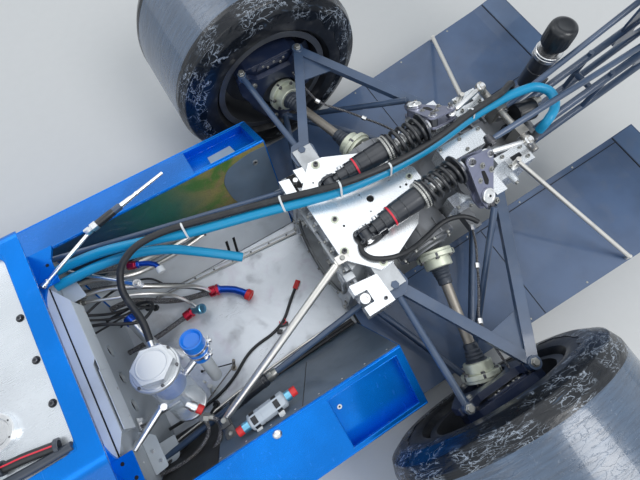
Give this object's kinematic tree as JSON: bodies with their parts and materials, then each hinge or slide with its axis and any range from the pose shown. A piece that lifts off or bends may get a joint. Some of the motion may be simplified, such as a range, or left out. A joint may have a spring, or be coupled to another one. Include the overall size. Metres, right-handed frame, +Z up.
{
  "type": "open wheel racing car",
  "caption": "Single-seat open wheel racing car with side pods, under-body tunnels, front and rear wings and slick tyres, its engine and engine cover removed.",
  "frame": {"origin": "centre of the car's footprint, on the ground", "axes": "+X towards the nose, +Y to the driver's left, +Z up"},
  "size_m": [4.43, 1.72, 1.01],
  "materials": {
    "blue_body": "gloss blue paint on moulded panels",
    "dark_grey_panel": "satin dark blue-grey paint",
    "polished_sheet": "polished sheet, lightly scratched",
    "satin_sheet": "dull sheet, oil-marked",
    "tub_aluminium": "dull riveted sheet",
    "wing_aluminium": "brushed sheet",
    "machined_plate": "pale machined",
    "cast_magnesium": "grey cast finish",
    "rocker_anodised": "anodised grey",
    "damper_black": "black anodised",
    "spring_black": "black powder coat",
    "satin_steel": "satin",
    "bare_steel_tube": "plated tube",
    "black_steel": "black paint, chipped",
    "radiator_core": "black finned core",
    "black_hose": "black rubber hose",
    "braided_steel": "woven steel braid",
    "red_blue_anodised": "red and blue anodised",
    "blue_hose": "blue rubber hose",
    "seat_shell": "black moulded shell",
    "black_panel": "matt black",
    "wheel_grip": "suede grip",
    "clear_screen": "clear plastic",
    "tyre_rubber": "slick, wrapped in black film at the rear",
    "rim_metal": "grey cast wheel"
  },
  "bodies": {
    "chassis": {"tub": "tub_aluminium", "cockpit_cowl": "blue_body", "deck_panel": "polished_sheet", "nose_cone": "blue_body", "front_wings": "wing_aluminium", "sidepods": "blue_body", "tunnels": "dark_grey_panel", "radiators": "radiator_core", "rear_bulkhead": "satin_sheet", "engine_bay_floor": "satin_sheet", "bell_housing": "cast_magnesium", "top_plate": "machined_plate", "gearbox": "cast_magnesium", "gearbox_brackets": "machined_plate", "rockers": "rocker_anodised", "dampers": "damper_black", "springs": "spring_black", "anti_roll_bar": "satin_steel", "engine_bay_stays": "bare_steel_tube", "tunnel_stays": "bare_steel_tube", "wing_frame": "black_steel", "rear_wing": "wing_aluminium", "breather_canister": "machined_plate", "catch_tank": "polished_sheet", "fuel_filter": "machined_plate", "bay_rods": "black_steel", "water_hose": "blue_hose", "vent_hose": "blue_hose", "breather_hose": "black_hose", "fuel_line_long": "braided_steel", "fuel_line_short": "braided_steel", "wiring_loom": "black_hose", "line_fittings": "red_blue_anodised", "roll_hoop": "black_steel", "seat": "seat_shell", "dash": "black_panel", "pedals": "satin_steel", "rack_housing": "machined_plate", "front_links": "black_steel", "windscreen": "clear_screen", "mirrors": "blue_body", "rear_uprights": "cast_magnesium", "rear_links": "black_steel"},
    "wheel_rear_left": {"tyre_rear_left": "tyre_rubber", "rim_rear_left": "rim_metal"},
    "wheel_rear_right": {"tyre_rear_right": "tyre_rubber", "rim_rear_right": "rim_metal"},
    "wheel_front_left": {"tyre_front_left": "tyre_rubber", "rim_front_left": "rim_metal"},
    "wheel_front_right": {"tyre_front_right": "tyre_rubber", "rim_front_right": "rim_metal"},
    "shaft_left": {"drive_shaft_left": "satin_steel"},
    "shaft_right": {"drive_shaft_right": "satin_steel"},
    "knuckle_body_left": {"knuckle_left": "cast_magnesium"},
    "knuckle_body_right": {"knuckle_right": "cast_magnesium"},
    "steering": {"steering_wheel": "wheel_grip", "steering_column": "satin_steel"},
    "rack": {"steering_rack": "satin_steel"}
  },
  "joints": [
    {"name": "rear_left_spin", "type": "hinge", "parent": "chassis", "child": "wheel_rear_left", "pos_m": [-1.205, 0.6815, 0.292], "axis": [0, 1, 0], "continuous": true},
    {"name": "rear_right_spin", "type": "hinge", "parent": "chassis", "child": "wheel_rear_right", "pos_m": [-1.205, -0.6815, 0.292], "axis": [0, 1, 0], "continuous": true},
    {"name": "left_shaft_spin", "type": "hinge", "parent": "chassis", "child": "shaft_left", "pos_m": [-1.277, 0.168, 0.338], "axis": [0.2229, 0.9661, -0.1301], "continuous": true},
    {"name": "right_shaft_spin", "type": "hinge", "parent": "chassis", "child": "shaft_right", "pos_m": [-1.277, -0.168, 0.338], "axis": [-0.2229, 0.9661, 0.1301], "continuous": true},
    {"name": "steering_turn", "type": "hinge", "parent": "chassis", "child": "steering", "pos_m": [0.485, 0, 0.515], "axis": [-0.9822, 0, 0.1878], "range_deg": [-170, 170]},
    {"name": "left_kingpin", "type": "hinge", "parent": "chassis", "child": "knuckle_body_left", "pos_m": [1.415, 0.595, 0.255], "axis": [0, 0, 1], "range_deg": [-17.1, 17.1]},
    {"name": "right_kingpin", "type": "hinge", "parent": "chassis", "child": "knuckle_body_right", "pos_m": [1.415, -0.595, 0.255], "axis": [0, 0, 1], "range_deg": [-17.1, 17.1]},
    {"name": "rack_slide", "type": "slide", "parent": "chassis", "child": "rack", "axis": [0, 1, 0], "range_m": [-0.0315, 0.0315]},
    {"name": "front_left_spin", "type": "hinge", "parent": "knuckle_body_left", "child": "wheel_front_left", "pos_m": [1.415, 0.7, 0.255], "axis": [0, 1, 0], "continuous": true},
    {"name": "front_right_spin", "type": "hinge", "parent": "knuckle_body_right", "child": "wheel_front_right", "pos_m": [1.415, -0.7, 0.255], "axis": [0, 1, 0], "continuous": true}
  ],
  "couplings": [
    {"joint": "left_shaft_spin", "follows": "rear_left_spin", "ratio": 1},
    {"joint": "right_shaft_spin", "follows": "rear_right_spin", "ratio": 1},
    {"joint": "left_kingpin", "follows": "steering_turn", "ratio": 0.1},
    {"joint": "right_kingpin", "follows": "steering_turn", "ratio": 0.1},
    {"joint": "rack_slide", "follows": "steering_turn", "m_per_rad": -0.0105}
  ]
}
